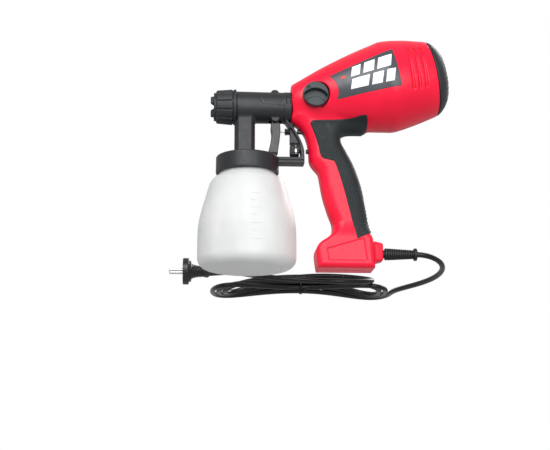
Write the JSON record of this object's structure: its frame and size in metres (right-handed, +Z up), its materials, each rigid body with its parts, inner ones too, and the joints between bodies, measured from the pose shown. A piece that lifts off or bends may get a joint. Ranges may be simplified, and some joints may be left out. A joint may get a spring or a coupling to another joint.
{
  "type": "hvlp spray gun",
  "caption": "Electric HVLP paint spray gun with motor housing, side speed dial, trigger, nozzle with air cap, screw-on translucent paint container and corded plug.",
  "frame": {"origin": "on the table plane, under the paint container's vertical axis, at the centre of the container's base", "axes": "+X from the nozzle towards the motor housing's rear, +Y towards the gun's right side, +Z up"},
  "size_m": [0.3676, 0.3175, 0.3059],
  "materials": {
    "bearing_steel": "ground",
    "black_plastic": "fine moulded grain",
    "board_green": "solder mask",
    "container_plastic": "translucent polyethylene",
    "cord_rubber": "glossy flexible vinyl",
    "decal_film": "printed film",
    "dial_plastic": "satin",
    "fan_aluminium": "pressed",
    "filter_foam": "open foam",
    "gasket": "soft, matt",
    "grey_plastic": "moulded",
    "grip_rubber": "matt, dotted",
    "motor_steel": "machined",
    "needle_steel": "polished",
    "packing_white": "PTFE",
    "pin_chrome": "nickel plated",
    "plug_plastic": "glossy moulded",
    "red_plastic": "satin moulded",
    "screw_steel": "zinc plated",
    "seal_rubber": "matt"
  },
  "bodies": {
    "housing": {"left_shell": "red_plastic", "right_shell": "red_plastic", "left_grip": "grip_rubber", "right_grip": "grip_rubber", "left_decal": "decal_film", "right_decal": "decal_film", "air_filter": "filter_foam", "motor_body": "motor_steel", "front_bearing": "bearing_steel", "rear_bearing": "bearing_steel", "fan_housing": "grey_plastic", "air_duct": "grey_plastic", "duct_seal": "seal_rubber", "dial_regulator": "board_green", "switch_body": "grey_plastic", "control_board": "board_green", "housing_screws": "screw_steel", "cord_clamp": "grey_plastic", "strain_relief": "seal_rubber", "power_cord": "cord_rubber", "cord_tie": "cord_rubber", "plug_body": "plug_plastic", "plug_pins": "pin_chrome"},
    "rotor": {"motor_shaft": "bearing_steel", "fan_impeller": "fan_aluminium"},
    "rear_cover": {"rear_cover": "black_plastic"},
    "speed_dial": {"speed_dial": "dial_plastic"},
    "switch_button": {"switch_button": "black_plastic"},
    "lock_button": {"lock_button": "black_plastic"},
    "spray_head": {"head_body": "black_plastic", "trigger_pin": "screw_steel", "rod_boot": "seal_rubber", "needle_packing": "packing_white", "needle_spring": "needle_steel", "fluid_nozzle": "fan_aluminium", "pressure_valve": "seal_rubber"},
    "trigger": {"trigger": "black_plastic"},
    "push_rod": {"push_rod": "needle_steel"},
    "needle": {"needle": "needle_steel"},
    "flow_knob": {"flow_knob": "black_plastic", "knob_ring": "pin_chrome"},
    "air_cap": {"air_cap": "black_plastic"},
    "cap_nut": {"cap_nut": "black_plastic"},
    "suction_tube": {"suction_tube": "black_plastic"},
    "container_ring": {"container_seal": "gasket"},
    "container": {"container": "container_plastic"}
  },
  "joints": [
    {"name": "rotor_spin", "type": "hinge", "parent": "housing", "child": "rotor", "pos_m": [0.056, 0, 0.222], "axis": [0.9816, 0, 0.1908], "continuous": true},
    {"name": "rear_cover_pull", "type": "slide", "parent": "housing", "child": "rear_cover", "axis": [0.9816, 0, 0.1908], "range_m": [0, 0.04]},
    {"name": "speed_dial_turn", "type": "hinge", "parent": "housing", "child": "speed_dial", "pos_m": [0.087, -0.034, 0.225], "axis": [0, -1, 0], "range_deg": [0, 270]},
    {"name": "lock_press", "type": "slide", "parent": "housing", "child": "lock_button", "axis": [1, 0, 0], "range_m": [0, 0.0025]},
    {"name": "head_twist", "type": "hinge", "parent": "housing", "child": "spray_head", "pos_m": [0.06, 0, 0.216], "axis": [-1, 0, 0], "range_deg": [0, 20]},
    {"name": "trigger_pull", "type": "hinge", "parent": "spray_head", "child": "trigger", "pos_m": [0.036, 0, 0.198], "axis": [0, -1, 0], "range_deg": [0, 15]},
    {"name": "rod_slide", "type": "slide", "parent": "spray_head", "child": "push_rod", "axis": [1, 0, 0], "range_m": [0, 0.0038]},
    {"name": "needle_draw", "type": "slide", "parent": "spray_head", "child": "needle", "axis": [1, 0, 0], "range_m": [0, 0.0038], "deforming": ["needle_spring"]},
    {"name": "switch_press", "type": "slide", "parent": "housing", "child": "switch_button", "axis": [1, 0, 0], "range_m": [0, 0.0038]},
    {"name": "flow_knob_turn", "type": "hinge", "parent": "spray_head", "child": "flow_knob", "pos_m": [0.06, 0, 0.157], "axis": [1, 0, 0], "range_deg": [0, 360]},
    {"name": "air_cap_turn", "type": "hinge", "parent": "spray_head", "child": "air_cap", "pos_m": [-0.04, 0, 0.216], "axis": [1, 0, 0], "range_deg": [0, 90]},
    {"name": "cap_nut_turn", "type": "hinge", "parent": "spray_head", "child": "cap_nut", "pos_m": [-0.03, 0, 0.216], "axis": [1, 0, 0], "range_deg": [0, 360]},
    {"name": "suction_tube_turn", "type": "hinge", "parent": "spray_head", "child": "suction_tube", "pos_m": [-0.0073, 0, 0.1], "axis": [0, 0, 1], "range_deg": [-180, 180]},
    {"name": "container_drop", "type": "slide", "parent": "spray_head", "child": "container_ring", "axis": [0, 0, -1], "range_m": [0, 0.13]},
    {"name": "container_twist", "type": "hinge", "parent": "container_ring", "child": "container", "pos_m": [0, 0, 0.13], "axis": [0, 0, 1], "range_deg": [0, 360]}
  ],
  "couplings": [
    {"joint": "rod_slide", "follows": "trigger_pull", "m_per_rad": 0.0144},
    {"joint": "needle_draw", "follows": "trigger_pull", "m_per_rad": 0.0144},
    {"joint": "switch_press", "follows": "trigger_pull", "m_per_rad": 0.0144}
  ]
}
